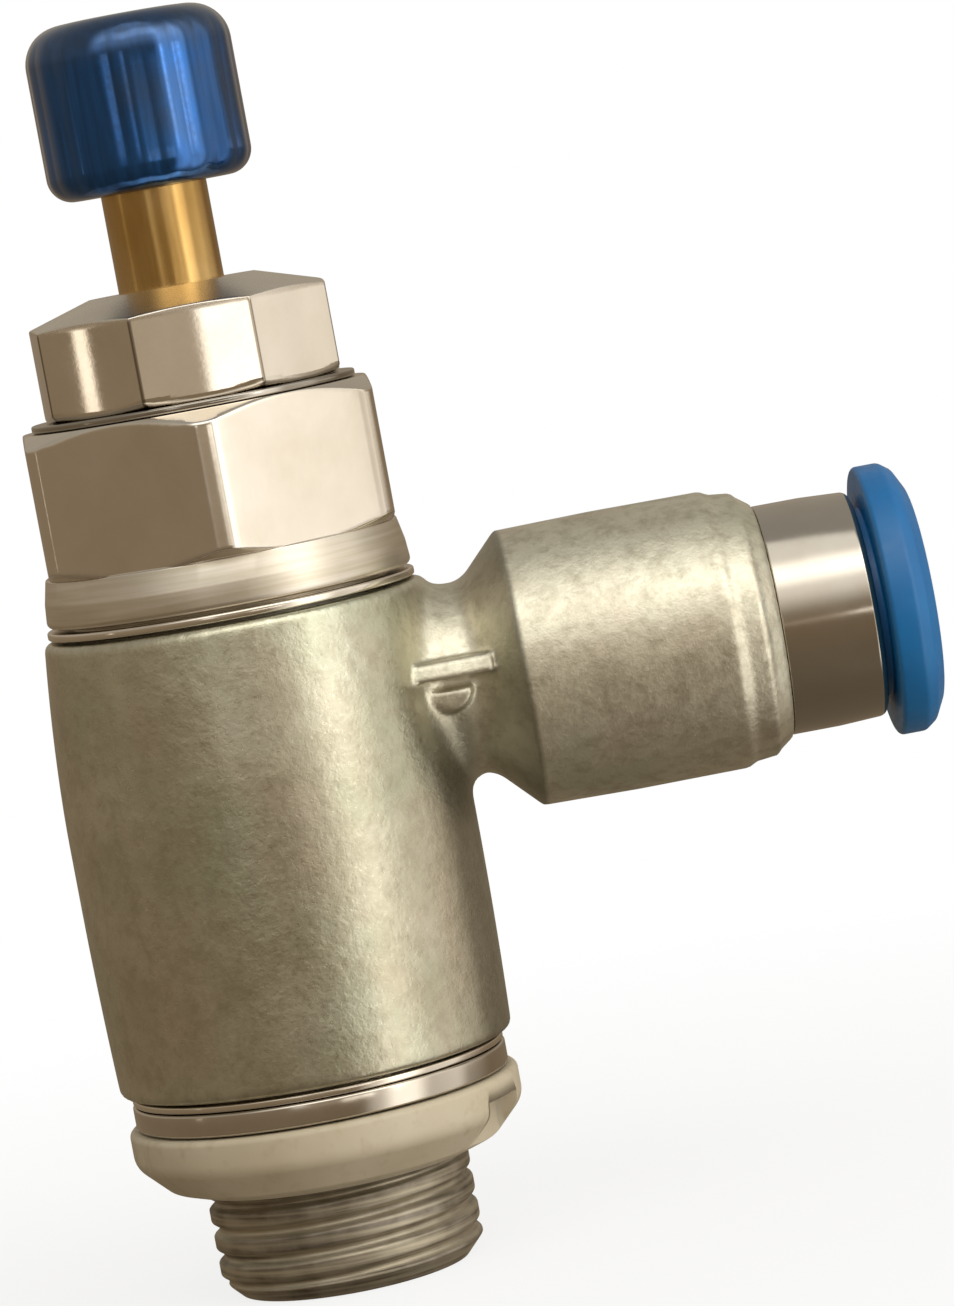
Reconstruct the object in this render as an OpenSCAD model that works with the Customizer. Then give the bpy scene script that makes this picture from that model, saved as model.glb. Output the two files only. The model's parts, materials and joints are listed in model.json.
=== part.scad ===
// One-way flow control valve, banjo pattern: G1/4 port thread, push-in connection for 8 mm tube.
// The origin is the centre of the seat plane, where the thread meets the threaded port's face.
// +Z is the axis of the hollow bolt, towards the knob. +X is the axis of the side branch.

/* [Port thread] */
// Outside diameter of the G1/4 port thread
thread_d = 13.157; // [13:0.001:13.3]
// Length of the thread below the seat plane
thread_len = 5.4; // [4.5:0.1:8]
// Diameter of the flow bore in the port
port_bore_d = 8; // [6:0.1:8.4]

/* [Thread seal] */
// Outside diameter of the seal ring
seal_d = 19.4; // [18.6:0.1:20.2]
// Height of the seal ring
seal_h = 3.5; // [3:0.1:3.7]

/* [Swivel housing] */
// Largest outside diameter of the upright barrel
barrel_d = 19.9; // [19:0.1:21]
// Height of the barrel
barrel_h = 22.6; // [22.3:0.1:24]
// Height of the branch's axis above the seat plane
branch_z = 22.5; // [22:0.1:22.8]
// Diameter of the neck between the barrel and the connection
neck_d = 9.5; // [8.5:0.1:10]
// Outside diameter of the connection's shell
shell_d = 13.85; // [13:0.05:14.5]
// Distance from the barrel's axis to the shell's end face
shell_end = 25.9; // [25.6:0.1:27]

/* [Hollow bolt] */
// Size across the hexagon's flats
hex_af = 17; // [16.5:0.1:18]
// Height of the hexagon
hex_h = 7.1; // [6.5:0.1:8]
// Diameter of the round flange under the hexagon
flange_d = 18.1; // [17.8:0.1:19]
// Height of the flange
flange_h = 2.4; // [2:0.1:3]
// Diameter of the orifice that the needle closes
orifice_d = 4; // [3.96:0.01:4.2]

/* [Lock nut] */
// Size across the octagon's flats
nut_af = 14.4; // [13.5:0.1:15]
// Height of the nut
nut_h = 5.5; // [4.5:0.1:6]

/* [Screw and knob] */
// Diameter of the stem
stem_d = 5.2; // [5:0.1:5.5]
// Length of stem in sight between the nut and the knob
stem_show = 4.8; // [4.8:0.1:6]
// Diameter of the knob
knob_d = 10.1; // [9:0.1:12]
// Height of the knob
knob_h = 8.5; // [7.5:0.1:10]

/* [Push-in connection] */
// Outside diameter of the tube
tube_d = 8; // [7.9:0.01:8.02]
// Outside diameter of the nickel sleeve in sight
sleeve_d = 11.4; // [11.2:0.1:12]
// Length of the sleeve in sight
sleeve_show = 4.8; // [4.4:0.05:4.8]
// Diameter of the release ring's flange
release_d = 13.4; // [12:0.1:14]
// Thickness of the release ring's flange
release_t = 2.4; // [1.6:0.1:3]

/* [Hidden] */
$fn = 96;

// Clearances between pieces that move on each other
radial_fit = 0.05;
end_gap = 0.15;
rest_gap = 0.05;
nut_gap = 0.03;
// Overshoot of a cutting shape past the face that it opens
past = 0.5;

// Heights of the stack above the seat plane
retainer_t = 1.15;
low_washer_t = 0.35;
washer_t = 0.4;
lock_washer_t = 0.34;
retainer_z = seal_h + 2 * rest_gap;
low_washer_z = retainer_z + retainer_t + rest_gap;
barrel_z = low_washer_z + low_washer_t + end_gap;
barrel_top = barrel_z + barrel_h;
washer_z = barrel_top + end_gap;
flange_z = washer_z + washer_t + end_gap;
hex_z = flange_z + flange_h;
bolt_top = hex_z + hex_h;
lock_washer_z = bolt_top + nut_gap;
nut_z = lock_washer_z + lock_washer_t + nut_gap;
knob_z = nut_z + nut_h + stem_show;

// Radii of the housing's three bores, from the bottom up, and the heights of their steps
low_bore_r = 7;
mid_bore_r = 7.4;
top_bore_r = 7.8;
low_bore_top = 12.5;
mid_bore_top = 17.5;

// Outside of the hollow bolt
neck_r = 6.4;
low_journal_r = low_bore_r - radial_fit;
low_journal_z = seal_h + rest_gap;
low_journal_top = 8;
waist_r = 5.3;
bead_r = 5.9;
collar_r = 7;
collar_z = 16.7;
collar_t = 1;
top_journal_r = top_bore_r - radial_fit;
top_journal_z = flange_z - 3.5;

// Inside of the hollow bolt
chamber_r = 3.45;
orifice_z = 12;
orifice_top = 14.5;
mouth_r = 3.6;
circlip_r = 4.05;
circlip_t = 0.5;
circlip_z = bolt_top - 1.35;
lower_hole_z = 10.1;
lower_hole_d = 2.4;
upper_hole_z = 21.5;
upper_hole_d = 3;
cross_hole_count = 4;
cross_hole_turn = 45;

// Swivel O-rings: groove width, cord thickness, and the height of each groove's middle
groove_w = 1.6;
cord_d = 1.3;
low_groove_z = 6.7;
top_groove_z = flange_z - 1.9;

// Check seal between the bead and the collar
check_z = 13.7;
backup_t = 0.4;
check_top = collar_z - backup_t;

// Turn of the hexagon and of the octagon about the axis, in degrees
hex_turn = 31.5;
nut_turn = 27.5;

// Regulating screw: one turn of the knob moves the needle by the thread's pitch, 0.5 mm
screw_thread_r = chamber_r - radial_fit;
shank_r = 2.6;
needle_tip_z = orifice_top + 0.6;
needle_r = orifice_d / 2 - radial_fit;
land_z = flange_z - 1.2;
land_h = 2.6;
screw_groove_w = 1.4;
screw_cord_d = 0.95;
screw_thread_z = land_z + 3.1;
screw_thread_top = circlip_z - 0.75;
spigot_r = 2;
spigot_h = 5.7;

// Push-in connection: distances along the branch from the barrel's axis
tube_stop_x = shell_end - 10.9;
seal_x = shell_end - 7.4;
spacer_x = shell_end - 4.6;
cartridge_x = shell_end - 3.7;
collet_rim_x = shell_end - 0.3;
collet_rim_t = 0.7;
sleeve_end = shell_end + sleeve_show;
release_x = shell_end + 5.2;
release_end = release_x + release_t;

// Push-in connection: radii
passage_r = 2.9;
tube_bore_r = tube_d / 2 + radial_fit;
seat_r = 5.4;
cartridge_r = 4.95;
lip_r = 4.75;
release_tube_r = 4.65;
guide_r = tube_d / 2 + 0.15;

// Points of an arc about the centre c, from angle a0 to angle a1
function arc(c, r, a0, a1, n = 6) =
    [for (i = [0:n]) let (a = a0 + (a1 - a0) * i / n) c + r * [cos(a), sin(a)]];

// A ring about Z with small bevels on its outer edges
module bevelled_ring(r_in, r_out, z, h, bevel) {
    rotate_extrude()
        polygon([
            [r_in, z], [r_out - bevel, z], [r_out, z + bevel],
            [r_out, z + h - bevel], [r_out - bevel, z + h], [r_in, z + h]
        ]);
}

// A round-section ring whose outside just clears the bore around it
module o_ring(r_out, cord, z) {
    translate([0, 0, z])
        rotate_extrude()
            translate([r_out - cord / 2, 0])
                circle(d = cord);
}

// Turns a shape built about Z, with its height as x, to lie along the branch
module along_branch() {
    translate([0, 0, branch_z])
        rotate([0, 90, 0])
            children();
}

// Radial flow holes through the wall of the hollow bolt
module cross_holes(z, d) {
    for (i = [0:cross_hole_count - 1])
        rotate([0, 0, cross_hole_turn + i * 360 / cross_hole_count])
            translate([0, 0, z])
                rotate([0, 90, 0])
                    cylinder(d = d, h = collar_r);
}

// Round outside of the hollow bolt: thread, neck, two journals and the flange
module bolt_turning() {
    thread_r = thread_d / 2;
    end_chamfer = 0.8;
    flange_r = flange_d / 2;
    low_groove_r = low_bore_r - 0.02 - cord_d;
    top_groove_r = top_bore_r - 0.02 - cord_d;
    rotate_extrude()
        polygon([
            [0, -thread_len], [thread_r - end_chamfer, -thread_len],
            [thread_r, -thread_len + end_chamfer], [thread_r, 0], [neck_r, 0],
            [neck_r, low_journal_z], [low_journal_r, low_journal_z],
            [low_journal_r, low_groove_z - groove_w / 2], [low_groove_r, low_groove_z - groove_w / 2],
            [low_groove_r, low_groove_z + groove_w / 2], [low_journal_r, low_groove_z + groove_w / 2],
            [low_journal_r, low_journal_top], [waist_r, low_journal_top],
            [waist_r, check_z - 0.8], [bead_r, check_z - 0.6], [bead_r, check_z - 0.4],
            [waist_r, check_z - 0.2], [waist_r, collar_z],
            [collar_r, collar_z], [collar_r, collar_z + collar_t], [waist_r, collar_z + collar_t],
            [waist_r, top_journal_z], [top_journal_r, top_journal_z],
            [top_journal_r, top_groove_z - groove_w / 2], [top_groove_r, top_groove_z - groove_w / 2],
            [top_groove_r, top_groove_z + groove_w / 2], [top_journal_r, top_groove_z + groove_w / 2],
            [top_journal_r, flange_z], [flange_r - 0.2, flange_z], [flange_r, flange_z + 0.2],
            [flange_r - 0.1, flange_z + 1.2], [flange_r - 0.35, hex_z], [0, hex_z]
        ]);
}

// Hexagon with its corners turned down and bevelled top and bottom
module bolt_hexagon() {
    corner_r = hex_af * 0.5624;
    bevel_r = corner_r - 1;
    intersection() {
        translate([0, 0, hex_z])
            rotate([0, 0, hex_turn])
                cylinder(d = hex_af / cos(30), h = hex_h, $fn = 6);
        rotate_extrude()
            polygon([
                [0, hex_z], [bevel_r + 0.3, hex_z], [corner_r, hex_z + 0.4],
                [corner_r, bolt_top - 0.6], [bevel_r, bolt_top], [0, bolt_top]
            ]);
    }
}

// Stepped passage down the middle of the hollow bolt
module bolt_passage() {
    bore_r = port_bore_d / 2;
    rotate_extrude()
        polygon([
            [0, -thread_len - past], [bore_r + 0.4 + past, -thread_len - past],
            [bore_r, -thread_len + 0.4], [bore_r, orifice_z], [orifice_d / 2, orifice_z],
            [orifice_d / 2, orifice_top], [chamber_r, orifice_top], [chamber_r, circlip_z],
            [circlip_r, circlip_z], [circlip_r, circlip_z + circlip_t + 0.1],
            [mouth_r, circlip_z + circlip_t + 0.1], [mouth_r, bolt_top + past],
            [0, bolt_top + past]
        ]);
}

module hollow_bolt() {
    color("silver")
        difference() {
            union() {
                bolt_turning();
                bolt_hexagon();
            }
            bolt_passage();
            cross_holes(lower_hole_z, lower_hole_d);
            cross_holes(upper_hole_z, upper_hole_d);
        }
}

// Hard plastic ring that seals on the port's face, with two tool notches in its edge
module thread_seal_ring() {
    r = seal_d / 2;
    land_r = thread_d / 2 + 0.12;
    cone_h = 1.6;
    notch_h = 2.5;
    notch_w = 3.4;
    color("wheat")
        difference() {
            rotate_extrude()
                polygon([
                    [neck_r + radial_fit, 0.25], [land_r, 0], [land_r + 0.45, 0],
                    [r - 1.5, 0.45], [r - 0.3, cone_h], [r, cone_h + 0.45], [r, seal_h - 0.2],
                    [r - 0.2, seal_h], [neck_r + radial_fit, seal_h]
                ]);
            for (turn = [-26, 154])
                rotate([0, 0, turn])
                    translate([r - 1.4, -notch_w / 2, -past])
                        cube([3, notch_w, notch_h + past]);
        }
}

module body_retaining_ring() {
    color("silver")
        bevelled_ring(low_journal_r, 9.3, retainer_z, retainer_t, 0.2);
}

module lower_thrust_washer() {
    color("gainsboro")
        bevelled_ring(low_journal_r, 9.25, low_washer_z, low_washer_t, 0.08);
}

module lower_o_ring() {
    color("dimgray")
        o_ring(low_bore_r - 0.02, cord_d, low_groove_z);
}

module upper_o_ring() {
    color("dimgray")
        o_ring(top_bore_r - 0.02, cord_d, top_groove_z);
}

// Cup seal whose lips face the port: air from the port closes it, air towards the port folds it in
module check_seal() {
    lip_r_out = mid_bore_r - radial_fit;
    color("dimgray")
        rotate_extrude()
            polygon([
                [waist_r, check_z + 0.3], [waist_r + 0.35, check_z], [waist_r + 0.75, check_z + 1.4],
                [lip_r_out - 0.75, check_z + 1.4], [lip_r_out - 0.3, check_z],
                [lip_r_out, check_z + 0.2], [lip_r_out - 0.25, check_top], [waist_r, check_top]
            ]);
}

module check_seal_backup_ring() {
    color("whitesmoke")
        bevelled_ring(waist_r, collar_r, check_top, backup_t, 0.08);
}

module upper_thrust_washer() {
    color("gainsboro")
        bevelled_ring(top_journal_r, 9.1, washer_z, washer_t, 0.08);
}

// Open spring ring with two lugs, in a groove inside the mouth of the hollow bolt
module screw_retaining_ring() {
    inner_r = stem_d / 2 + 0.25;
    opening = 1.8;
    color("gray")
        difference() {
            translate([0, 0, circlip_z])
                cylinder(r = circlip_r, h = circlip_t);
            translate([0, 0, circlip_z - past])
                cylinder(r = inner_r, h = circlip_t + 2 * past);
            translate([0, -opening / 2, circlip_z - past])
                cube([circlip_r + past, opening, circlip_t + 2 * past]);
        }
}

// Outside of the upright barrel, slightly crowned
module barrel() {
    r = barrel_d / 2;
    rotate_extrude()
        polygon([
            [0, barrel_z], [r - 0.5, barrel_z], [r - 0.25, barrel_z + 0.3], [r - 0.05, barrel_z + 6.5],
            [r, barrel_z + 10.5], [r, barrel_z + 15.4], [r - 0.12, barrel_z + 17.5],
            [r - 0.4, barrel_z + 20.7], [r - 0.6, barrel_top - 0.3], [r - 0.8, barrel_top],
            [0, barrel_top]
        ]);
}

// Outside of the side branch: neck, flare, shell and stepped taper at its end
module branch() {
    shell_r = shell_d / 2;
    along_branch()
        rotate_extrude()
            polygon([
                [0, 8.2], [neck_d / 2, 8.2], [neck_d / 2, 11.2], [shell_r - 0.25, 13.1],
                [shell_r - 0.1, 13.3], [shell_r, 18], [shell_r, shell_end - 2.4],
                [shell_r - 0.2, shell_end - 1.9], [shell_r - 0.5, shell_end - 0.8],
                [shell_r - 1.1, shell_end], [0, shell_end]
            ]);
}

// Raised bar cast on the front of the neck, with a half-round ejector mark under it
module neck_bar() {
    front_y = -neck_d / 2 - 0.9;
    mark_r = 1.3;
    translate([7.6, front_y, branch_z + 0.6])
        cube([4.2, 3, 0.9]);
    intersection() {
        translate([9.6, front_y + 0.3, branch_z + 0.1])
            rotate([-90, 0, 0])
                cylinder(r = mark_r, h = 3);
        translate([9.6 - mark_r, front_y, branch_z + 0.1 - mark_r])
            cube([2 * mark_r, 4, mark_r]);
    }
}

module swivel_housing() {
    color("darkkhaki")
        difference() {
            union() {
                barrel();
                branch();
                neck_bar();
            }
            rotate_extrude()
                polygon([
                    [0, barrel_z - past], [low_bore_r + 0.3 + past, barrel_z - past],
                    [low_bore_r, barrel_z + 0.3], [low_bore_r, low_bore_top],
                    [mid_bore_r, low_bore_top], [mid_bore_r, mid_bore_top],
                    [top_bore_r, mid_bore_top], [top_bore_r, barrel_top - 0.3],
                    [top_bore_r + 0.3 + past, barrel_top + past], [0, barrel_top + past]
                ]);
            along_branch() {
                cylinder(r = passage_r, h = tube_stop_x + past);
                translate([0, 0, tube_stop_x])
                    cylinder(r = tube_bore_r, h = seal_x - tube_stop_x + past);
                translate([0, 0, seal_x])
                    cylinder(r = seat_r, h = shell_end - seal_x + past);
            }
        }
}

// Lip seal that grips the tube
module tube_seal() {
    inner_r = tube_d / 2 - 0.15;
    end = spacer_x;
    color("dimgray")
        along_branch()
            rotate_extrude()
                polygon([
                    [inner_r + 0.45, seal_x + 0.1], [inner_r + 0.3, seal_x + 0.5],
                    [inner_r, seal_x + 0.7], [inner_r, seal_x + 1], [inner_r + 0.35, end - 0.8],
                    [inner_r + 0.35, end - 0.1], [seat_r, end - 0.1], [seat_r, seal_x + 0.1]
                ]);
}

module seal_spacer_ring() {
    color("whitesmoke")
        along_branch()
            bevelled_ring(guide_r, seat_r, spacer_x, cartridge_x - spacer_x, 0.1);
}

// Ring with a thin outer wall that carries the rim of the collet
module collet_support_ring() {
    foot_t = 0.95;
    color("silver")
        along_branch()
            rotate_extrude()
                polygon([
                    [guide_r, cartridge_x], [cartridge_r, cartridge_x],
                    [cartridge_r, collet_rim_x], [cartridge_r - 0.2, collet_rim_x],
                    [cartridge_r - 0.2, cartridge_x + foot_t], [guide_r, cartridge_x + foot_t]
                ]);
}

// Spring steel ring with claws that slope in towards the tube
module grip_collet() {
    claw_count = 8;
    slot_w = 0.6;
    tip_x = collet_rim_x - 1.2;
    tip_r = tube_d / 2 + 0.08;
    claw_t = 0.3;
    color("lightsteelblue")
        along_branch()
            difference() {
                rotate_extrude()
                    polygon([
                        [tip_r, tip_x], [tip_r + claw_t, tip_x], [cartridge_r - 0.3, collet_rim_x],
                        [cartridge_r, collet_rim_x], [cartridge_r, collet_rim_x + collet_rim_t],
                        [cartridge_r - 0.35, collet_rim_x + collet_rim_t]
                    ]);
                for (i = [0:claw_count - 1])
                    rotate([0, 0, i * 360 / claw_count])
                        translate([0, -slot_w / 2, tip_x - past])
                            cube([cartridge_r + past, slot_w, collet_rim_x - tip_x + past]);
            }
}

// Nickel-plated cartridge pressed into the housing; its lip keeps the release ring in
module cartridge_sleeve() {
    r = sleeve_d / 2;
    shoulder_x = collet_rim_x + collet_rim_t;
    lip_x = sleeve_end - 1.65;
    color("silver")
        along_branch()
            rotate_extrude()
                polygon([
                    [cartridge_r, cartridge_x], [seat_r, cartridge_x], [seat_r, shell_end],
                    [r, shell_end], [r, sleeve_end - 0.3], [r - 0.3, sleeve_end], [lip_r, sleeve_end],
                    [lip_r, lip_x], [cartridge_r + 0.1, lip_x], [cartridge_r + 0.1, shoulder_x + 0.6],
                    [lip_r, shoulder_x + 0.6], [lip_r, shoulder_x], [cartridge_r, shoulder_x]
                ]);
}

// Collar that frees the tube when it is pushed in: its tapered tip spreads the claws
module release_ring() {
    r = release_d / 2;
    tip_x = collet_rim_x + 0.35;
    bead_x = sleeve_end - 2.65;
    bore = tube_d / 2 + 0.1;
    color("dodgerblue")
        along_branch()
            rotate_extrude()
                polygon([
                    [bore, tip_x], [bore + 0.15, tip_x], [bore + 0.35, tip_x + 0.95],
                    [bore + 0.35, tip_x + 1.15], [release_tube_r, tip_x + 1.35],
                    [release_tube_r, bead_x], [cartridge_r + 0.03, bead_x + 0.3],
                    [cartridge_r + 0.03, bead_x + 0.9], [release_tube_r, bead_x + 0.9],
                    [release_tube_r, release_x], [r - 0.3, release_x], [r, release_x + 0.3],
                    [r, release_end - 0.5], [r - 0.5, release_end], [bore + 0.6, release_end],
                    [bore, release_end - 0.6]
                ]);
}

module screw_o_ring() {
    color("dimgray")
        o_ring(chamber_r - 0.02, screw_cord_d, land_z + land_h / 2);
}

// Needle, shank, sealing land, thread, stem and the spigot that carries the knob
module regulating_screw() {
    stem_r = stem_d / 2;
    groove_r = chamber_r - 0.05 - screw_cord_d;
    groove_z = land_z + land_h / 2 - screw_groove_w / 2;
    needle_h = 3.4;
    color("goldenrod")
        rotate_extrude()
            polygon([
                [0, needle_tip_z], [1, needle_tip_z], [needle_r, needle_tip_z + needle_h],
                [shank_r, needle_tip_z + needle_h + 0.3], [shank_r, land_z],
                [screw_thread_r, land_z], [screw_thread_r, groove_z], [groove_r, groove_z],
                [groove_r, groove_z + screw_groove_w], [screw_thread_r, groove_z + screw_groove_w],
                [screw_thread_r, land_z + land_h], [shank_r, land_z + land_h],
                [shank_r, screw_thread_z], [screw_thread_r, screw_thread_z],
                [screw_thread_r, screw_thread_top], [stem_r, screw_thread_top],
                [stem_r, knob_z], [spigot_r, knob_z], [spigot_r, knob_z + spigot_h],
                [0, knob_z + spigot_h]
            ]);
}

// Anodised knob, pressed on the screw's spigot
module adjusting_knob() {
    r = knob_d / 2;
    low_round = 1.2;
    top_round = 1.8;
    color("royalblue")
        translate([0, 0, knob_z])
            difference() {
                rotate_extrude()
                    polygon(concat(
                        [[0, 0]],
                        arc([r - low_round, low_round], low_round, -90, 0),
                        arc([r - top_round, knob_h - top_round], top_round, 0, 90),
                        [[0, knob_h]]
                    ));
                translate([0, 0, -past])
                    cylinder(r = spigot_r, h = spigot_h + past);
            }
}

module lock_washer() {
    color("silver")
        bevelled_ring(stem_d / 2 + 0.15, 8, lock_washer_z, lock_washer_t, 0.06);
}

// Octagonal nut, bevelled from its corners to a round face on top
module lock_nut() {
    corner_r = nut_af / 2 / cos(22.5);
    bevel_r = corner_r + 0.1;
    face_r = 5.1;
    slope = 17;
    top = nut_z + nut_h;
    color("silver")
        difference() {
            intersection() {
                translate([0, 0, nut_z])
                    rotate([0, 0, nut_turn])
                        cylinder(r = corner_r, h = nut_h, $fn = 8);
                rotate_extrude()
                    polygon([
                        [0, nut_z], [bevel_r - 0.7, nut_z], [bevel_r, nut_z + 0.35],
                        [bevel_r, top - (bevel_r - face_r) * tan(slope)], [face_r, top], [0, top]
                    ]);
            }
            translate([0, 0, nut_z - past])
                cylinder(r = stem_d / 2 + radial_fit, h = nut_h + 2 * past);
        }
}

hollow_bolt();
thread_seal_ring();
body_retaining_ring();
lower_thrust_washer();
lower_o_ring();
check_seal();
check_seal_backup_ring();
upper_o_ring();
upper_thrust_washer();
screw_retaining_ring();
swivel_housing();
tube_seal();
seal_spacer_ring();
collet_support_ring();
grip_collet();
cartridge_sleeve();
release_ring();
screw_o_ring();
regulating_screw();
adjusting_knob();
lock_washer();
lock_nut();
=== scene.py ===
"""Looks of the one-way flow control valve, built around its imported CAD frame.

Lengths in the shape code are millimetres, as in the CAD source, and become metres where a mesh is made.
"""

import json
import math

import bmesh
import bpy
import numpy as np
from mathutils import Matrix, Vector


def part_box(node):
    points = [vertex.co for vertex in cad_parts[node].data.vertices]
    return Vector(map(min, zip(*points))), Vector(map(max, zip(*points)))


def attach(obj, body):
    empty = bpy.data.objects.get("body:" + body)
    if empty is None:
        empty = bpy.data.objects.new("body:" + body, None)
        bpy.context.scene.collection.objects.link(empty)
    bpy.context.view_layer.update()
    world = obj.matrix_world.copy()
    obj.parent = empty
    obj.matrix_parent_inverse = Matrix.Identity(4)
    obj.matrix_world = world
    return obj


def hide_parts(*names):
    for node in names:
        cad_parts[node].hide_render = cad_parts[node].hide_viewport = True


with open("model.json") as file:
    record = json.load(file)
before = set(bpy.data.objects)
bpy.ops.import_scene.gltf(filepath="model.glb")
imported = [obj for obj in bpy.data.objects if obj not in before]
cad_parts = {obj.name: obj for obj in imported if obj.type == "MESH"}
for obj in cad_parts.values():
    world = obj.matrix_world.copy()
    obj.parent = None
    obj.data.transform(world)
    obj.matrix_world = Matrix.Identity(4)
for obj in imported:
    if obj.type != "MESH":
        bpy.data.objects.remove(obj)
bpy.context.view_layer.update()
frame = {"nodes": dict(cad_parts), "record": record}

MM = 0.001
X, Y, Z = 0, 1, 2


# ---------------------------------------------------------------- sizes read from the frame


def span(node, axis):
    """Lowest and highest coordinate of a CAD node along an axis, in millimetres."""
    low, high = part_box(node)
    return low[axis] / MM, high[axis] / MM


THREAD_END, BOLT_TOP = span("hollow_bolt", Z)
SEAL_TOP = span("thread_seal_ring", Z)[1]
SEAL_R = span("thread_seal_ring", X)[1]
RETAINER_BOTTOM, RETAINER_TOP = span("body_retaining_ring", Z)
RETAINER_R = span("body_retaining_ring", X)[1]
LOW_WASHER_BOTTOM, LOW_WASHER_TOP = span("lower_thrust_washer", Z)
LOW_WASHER_R = span("lower_thrust_washer", X)[1]
WASHER_BOTTOM, WASHER_TOP = span("upper_thrust_washer", Z)
WASHER_R = span("upper_thrust_washer", X)[1]
LOCK_WASHER_BOTTOM, LOCK_WASHER_TOP = span("lock_washer", Z)
LOCK_WASHER_R = span("lock_washer", X)[1]
NUT_BOTTOM, NUT_TOP = span("lock_nut", Z)
KNOB_BOTTOM, KNOB_TOP = span("adjusting_knob", Z)
KNOB_R = span("adjusting_knob", X)[1]
SCREW_BOTTOM, SCREW_TOP = span("regulating_screw", Z)
SCREW_THREAD_R = span("regulating_screw", X)[1]
BARREL_R = -span("swivel_housing", X)[0]
SHELL_END = span("swivel_housing", X)[1]
BRANCH_Z = sum(span("cartridge_sleeve", Z)) / 2
SHELL_R = span("swivel_housing", Z)[1] - BRANCH_Z
CARTRIDGE_START, SLEEVE_END = span("cartridge_sleeve", X)
SLEEVE_R = span("cartridge_sleeve", Y)[1]
RELEASE_TIP, RELEASE_END = span("release_ring", X)
RELEASE_R = span("release_ring", Y)[1]
END_GAP = 0.15
BARREL_BOTTOM = LOW_WASHER_TOP + END_GAP
BARREL_TOP = WASHER_BOTTOM - END_GAP
FLANGE_BOTTOM = WASHER_TOP + END_GAP
FLANGE_R = span("hollow_bolt", X)[1]

# Sizes that the boxes don't give, as in the CAD source
HEX_FLAT_R = 8.5
HEX_CORNER_R = 9.56
HEX_BOTTOM = BOLT_TOP - 7.1
HEX_TURN = 31.5
NUT_FLAT_R = 7.2
NUT_TURN = 27.5
THREAD_R = 6.5785
THREAD_PITCH = 1.337
STEM_R = 2.6
SPIGOT_R = 2.0
NECK_R = 4.75
JOURNAL_R = 6.95
TOP_JOURNAL_R = 7.75
WAIST_R = 5.3
LOW_BORE_R = 7.0
MID_BORE_R = 7.4
TOP_BORE_R = 7.8
MID_BORE_BOTTOM = 12.5
MID_BORE_TOP = 17.5
GROOVE_DEPTH = 1.32
GROOVE_HALF_WIDTH = 0.8
PORT_BORE_R = 4.0
SCREW_BORE_R = 3.45
ORIFICE_R = 2.0
ORIFICE_BOTTOM = 12.0
ORIFICE_TOP = 14.5
PASSAGE_R = 2.9
PILOT_R = 4.05
PILOT_START = 15.0
CARTRIDGE_BORE_R = 5.4
SEAT_START = 18.5
LOW_HOLE_Z = 10.1
HIGH_HOLE_Z = 21.5

# The branch: how far out its flare, shell, neck and root corner go, and its raised mark's middle and lean
FLARE_START = 10.6
SHELL_START = 10.8
FLARE_END = 13.1
NECK_END = 14
CORNER_START = 7.8
CORNER_END = 10.7
MARK_X = 9.85
MARK_UP = 1.05
MARK_LEAN = math.radians(18)


# ---------------------------------------------------------------- mesh making


def soften(points, radius=0.15, steps=5, closed=True):
    """Rounds the corners of an outline of (r, z) points. A third number is a corner's own radius."""
    rounded = []
    count = len(points)
    for i, point in enumerate(points):
        p = np.array(point[:2], float)
        corner_radius = point[2] if len(point) > 2 else radius
        if corner_radius <= 0 or (not closed and i in (0, count - 1)):
            rounded.append(p)
            continue
        to_last = np.array(points[i - 1][:2], float) - p
        to_next = np.array(points[(i + 1) % count][:2], float) - p
        room = 0.48 * min(np.linalg.norm(to_last), np.linalg.norm(to_next))
        to_last /= np.linalg.norm(to_last)
        to_next /= np.linalg.norm(to_next)
        half = math.acos(max(-1.0, min(1.0, float(to_last @ to_next)))) / 2
        if half > math.radians(87):
            rounded.append(p)
            continue
        reach = min(corner_radius / math.tan(half), room)
        r = reach * math.tan(half)
        middle = (to_last + to_next) / np.linalg.norm(to_last + to_next)
        centre = p + middle * r / math.sin(half)
        first = p + to_last * reach - centre
        last = p + to_next * reach - centre
        start = math.atan2(first[1], first[0])
        turn = math.atan2(last[1], last[0]) - start
        turn = (turn + math.pi) % (2 * math.pi) - math.pi
        for k in range(steps + 1):
            a = start + turn * k / steps
            rounded.append(centre + r * np.array([math.cos(a), math.sin(a)]))
    return np.array(rounded)


def dense(points, longest):
    """Splits the long straight stretches of an outline."""
    out = [points[0]]
    for a, b in zip(points[:-1], points[1:]):
        pieces = max(1, int(math.ceil(np.linalg.norm(b - a) / longest)))
        out.extend(a + (b - a) * k / pieces for k in range(1, pieces + 1))
    return np.array(out)


def even_angles(count):
    """Angles of a full turn in equal steps, in radians."""
    return np.arange(count) * 2 * math.pi / count


def cornered_angles(count, corners, turn, reach=5.0, steps=14):
    """Even angles, with a finer set around each corner of a polygon."""
    angles = list(even_angles(count))
    for i in range(corners):
        middle = math.radians(turn + 360 * i / corners)
        angles.extend(middle + math.radians(reach) * k / steps for k in range(-steps, steps + 1))
    angles = np.unique(np.round(np.mod(angles, 2 * math.pi), 5))
    return angles[np.diff(angles, append=angles[0] + 2 * math.pi) > 1e-4]


def polygon_radius(angles, flat_r, corners, turn, crown=0.0):
    """Radius of a regular polygon's outline at each angle. Its sides can bulge a little in the middle."""
    step = 2 * math.pi / corners
    from_middle = np.mod(angles - math.radians(turn), step) - step / 2
    across = np.tan(from_middle) / math.tan(step / 2)
    return (flat_r - crown * across**2) / np.cos(from_middle)


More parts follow.
